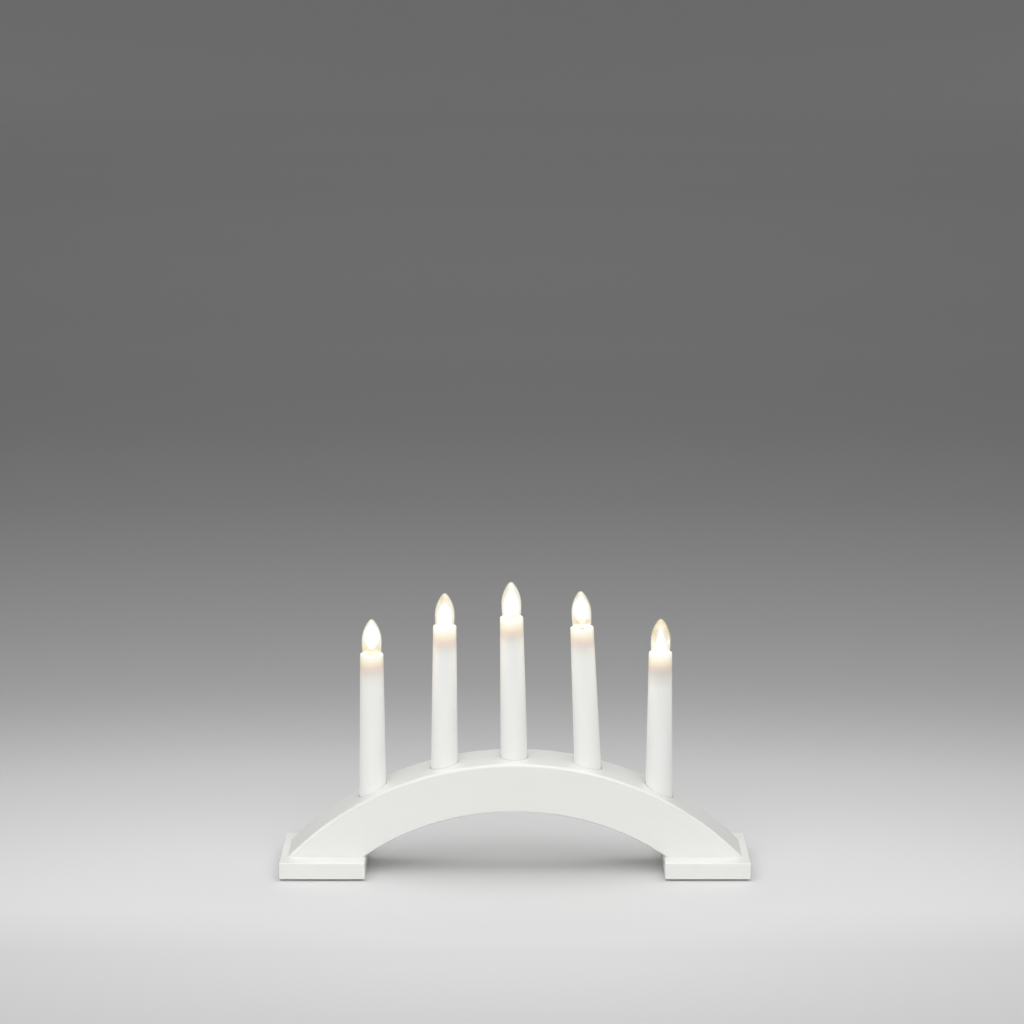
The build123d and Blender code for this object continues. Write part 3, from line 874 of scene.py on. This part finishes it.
CORES = {
    # foot height and radius, widest height and radius, top height, in millimetres; fullness of the upper part
    1: (4.0, 1.4, 15.0, 6.7, 27.0, 2.4),
    2: (-2.5, 4.6, 10.0, 6.3, 22.0, 2.4),
    3: (0.5, 4.6, 10.0, 6.3, 25.5, 2.0),
    4: (2.5, 2.2, 14.5, 6.6, 26.0, 2.3),
    5: (-3.0, 5.2, 4.0, 5.7, 24.0, 0.95),
}
HALOS = {
    # foot height, height at which it fills the glass, top height and room to the glass in millimetres
    1: (2.5, 11.0, 28.2, 0.8),
    2: (-2.5, 0.5, 23.5, 0.8),
    3: (-2.5, 0.5, 28.4, 0.8),
    4: (1.5, 8.0, 27.8, 0.8),
    5: (-2.5, 2.0, 24.0, 3.0),
}
CORE_LIGHT, CORE_ALPHA = 1.0, 0.85
HALO_LIGHT, HALO_ALPHA = 0.62, 0.35
HALO_FOOT_SHARE = 0.25                   # of its full radius
HALO_TIP_MM = 0.3
GLASS_WIDEST_MM, GLASS_RADIUS_MM = 11.5, 8.3
GLASS_BEND_OVER_MM, GLASS_BEND_UNDER_MM = 28.5, 110.0    # radii of its outline, over and under that


def core_outline(low, low_radius, widest, radius, top, fullness, steps=10):
    """A drop: it widens from its foot to its widest height and is drawn in to a point above."""
    points = [(0, low * MM)]
    for k in range(steps + 1):
        t = k / steps
        swell = low_radius + (radius - low_radius) * math.sin(t * math.pi / 2)
        points.append((swell * MM, (low + (widest - low) * t) * MM))
    for k in range(1, steps):
        t = k / steps
        points.append((radius * (1 - t**fullness) * MM, (widest + (top - widest) * t) * MM))
    points.append((0, top * MM))
    return points


def glass_reach(height):
    """Radius of the bulb's glass over its shoulder, in millimetres."""
    bend = GLASS_BEND_OVER_MM if height > GLASS_WIDEST_MM else GLASS_BEND_UNDER_MM
    return GLASS_RADIUS_MM - bend + math.sqrt(bend**2 - (height - GLASS_WIDEST_MM)**2)


def halo_outline(low, full, top, room, steps=18):
    """Fills the glass from a height up, a little inside it."""
    points = [(0, low * MM)]
    for k in range(steps + 1):
        height = low + (top - low) * math.sin(k / steps * math.pi / 2)
        share = min(1, HALO_FOOT_SHARE + (1 - HALO_FOOT_SHARE) * (height - low) / (full - low))
        points.append(((glass_reach(height) - room) * share * MM, height * MM))
    points.append((0, (top + HALO_TIP_MM) * MM))
    return points


core_glow = glow_look("filament_glow", (1.0, 0.995, 0.98), CORE_LIGHT, CORE_ALPHA)
halo_glow = glow_look("filament_halo", (1.0, 0.97, 0.88), HALO_LIGHT, HALO_ALPHA)
for n in CANDLES:
    core = lathe(f"glow_core_{n}", core_outline(*CORES[n]), core_glow)
    halo = lathe(f"glow_halo_{n}", halo_outline(*HALOS[n]), halo_glow)
    for piece in (core, halo):
        part_of_candle(piece, n, f"bulb_{n}", "filament_mount")


# Floor and backdrop: one round sweep, pale at the object and gray further out, in painted light and shade

FLOOR_RADIUS = 7.0
FLOOR_RINGS, SWEEP_RINGS, FLOOR_SIDES = 12, 8, 96
FLOOR_THICKNESS = 0.05
SWEEP_RADIUS = 1.5
WALL_TOP = 4.0
FLOOR_STRETCH = 0.4                      # the tone changes more slowly to the sides
FLOOR_MIDDLE_Y = -0.08
TONE_REACH = 8.1                         # the tone stays the same beyond
FLOOR_TONES = [
    # distance from the middle in metres, and gray with painted light and shade
    (0.0, 0.69), (0.05, 0.70), (0.1, 0.75), (0.15, 0.745), (0.2, 0.715), (0.27, 0.665), (0.36, 0.612),
    (0.45, 0.53), (0.55, 0.458), (0.62, 0.42), (0.7, 0.4), (0.85, 0.375), (1.0, 0.365), (1.2, 0.358),
    (1.5, 0.361), (1.8, 0.402), (2.2, 0.449), (2.7, 0.499), (3.1, 0.51), (3.4, 0.526), (4.0, 0.562),
    (4.4, 0.602), (5.1, 0.67), (5.6, 0.742), (6.0, 0.788), (6.3, 0.836), (6.8, 0.864), (7.1, 0.862),
    (7.35, 0.835), (7.6, 0.79), (7.85, 0.742), (8.1, 0.716),
]
FRONT_SHADE = 0.1                        # painted shadow: the floor is this much darker in front of the object
FRONT_FROM_Y, FRONT_TO_Y = -0.1, -0.2


def floor_look():
    """Matt paper. Its gray, which goes with the distance from the object, is painted light and shade, with a
    painted shadow at the object.
    """
    look = Look("studio_floor", gray(0.5), 0.75)
    look.shader.inputs["Specular IOR Level"].default_value = 0.2
    offset = look.vector("SUBTRACT", look.place, (0, FLOOR_MIDDLE_Y, 0))
    distance = look.vector("LENGTH", look.vector("MULTIPLY", offset, (FLOOR_STRETCH, 1, 1)))
    stops = [(d / TONE_REACH, gray(tone)) for d, tone in FLOOR_TONES]
    # painted light and shade: the gray goes with the distance from the object
    tone = look.ramp(look.math("DIVIDE", distance, TONE_REACH), stops, smooth=False)
    forward = look.vector("DOT_PRODUCT", look.place, (0, 1, 0))
    # painted shadow in front of the object
    shade = look.span(forward, FRONT_FROM_Y, FRONT_TO_Y, 0, FRONT_SHADE)
    look.color(look.mix(shade, tone, (0, 0, 0, 1)))
    look.bump((look.noise(look.place, scale=400.0, detail=2.0), 0.03, 0.0002))
    return look.material


def floor_piece():
    """A closed outline: the floor, the sweep up to the wall, and their back at an even distance."""
    outline = [(FLOOR_RADIUS * k / FLOOR_RINGS, 0) for k in range(FLOOR_RINGS + 1)]
    for k in range(1, SWEEP_RINGS + 1):
        angle = TURN / 4 * k / SWEEP_RINGS
        outline.append((FLOOR_RADIUS + SWEEP_RADIUS * math.sin(angle), SWEEP_RADIUS * (1 - math.cos(angle))))
    outline.append((FLOOR_RADIUS + SWEEP_RADIUS, WALL_TOP))
    outline += [(r + FLOOR_THICKNESS, z - FLOOR_THICKNESS) for r, z in reversed(outline[1:])]
    outline.append((0, -FLOOR_THICKNESS))
    return lathe("studio_floor", outline, floor_look(), FLOOR_SIDES)


floor_piece()


# Light and camera

OBJECT_MIDDLE = (0, 0, 0.1)
AREA_LIGHTS = [
    # name, place, target, width, height in metres, power in watts
    ("overhead", (0, -0.3, 1.5), OBJECT_MIDDLE, 3.2, 2.4, 41),
    ("front", (-0.35, -3.0, 0.62), OBJECT_MIDDLE, 2.8, 0.9, 29.5),
    ("backdrop", (0, 2.6, 2.6), (0, 7.5, 1.2), 5.0, 1.0, 22),
]
WORLD_STRENGTH = 0.115

CAMERA_PLACE = (-0.0025, -2.28441, 0.84399)
CAMERA_DOWN_DEGREES = 13.1
CAMERA_LENS_MM = 98.62
CAMERA_SENSOR_MM = 36.0
CAMERA_CLIP_END = 60.0


def area_light(name, place, target, width, height, power):
    data = bpy.data.lights.new(name, "AREA")
    data.shape = "RECTANGLE"
    data.size = width
    data.size_y = height
    data.energy = power
    made = bpy.data.objects.new(name, data)
    made.location = place
    made.rotation_euler = (Vector(target) - Vector(place)).to_track_quat("-Z", "Y").to_euler()
    made.visible_camera = False
    bpy.context.scene.collection.objects.link(made)


for light in AREA_LIGHTS:
    area_light(*light)

world = bpy.data.worlds.new("studio")
world.use_nodes = True
background = world.node_tree.nodes["Background"]
background.inputs["Color"].default_value = (1, 1, 1, 1)
background.inputs["Strength"].default_value = WORLD_STRENGTH
bpy.context.scene.world = world

bpy.context.scene.view_settings.view_transform = "Standard"

camera_data = bpy.data.cameras.new("camera")
camera_data.sensor_width = CAMERA_SENSOR_MM
camera_data.lens = CAMERA_LENS_MM
camera_data.clip_end = CAMERA_CLIP_END
camera = bpy.data.objects.new("camera", camera_data)
camera.location = CAMERA_PLACE
camera.rotation_euler = (math.radians(90 - CAMERA_DOWN_DEGREES), 0, 0)
bpy.context.scene.collection.objects.link(camera)
bpy.context.scene.camera = camera
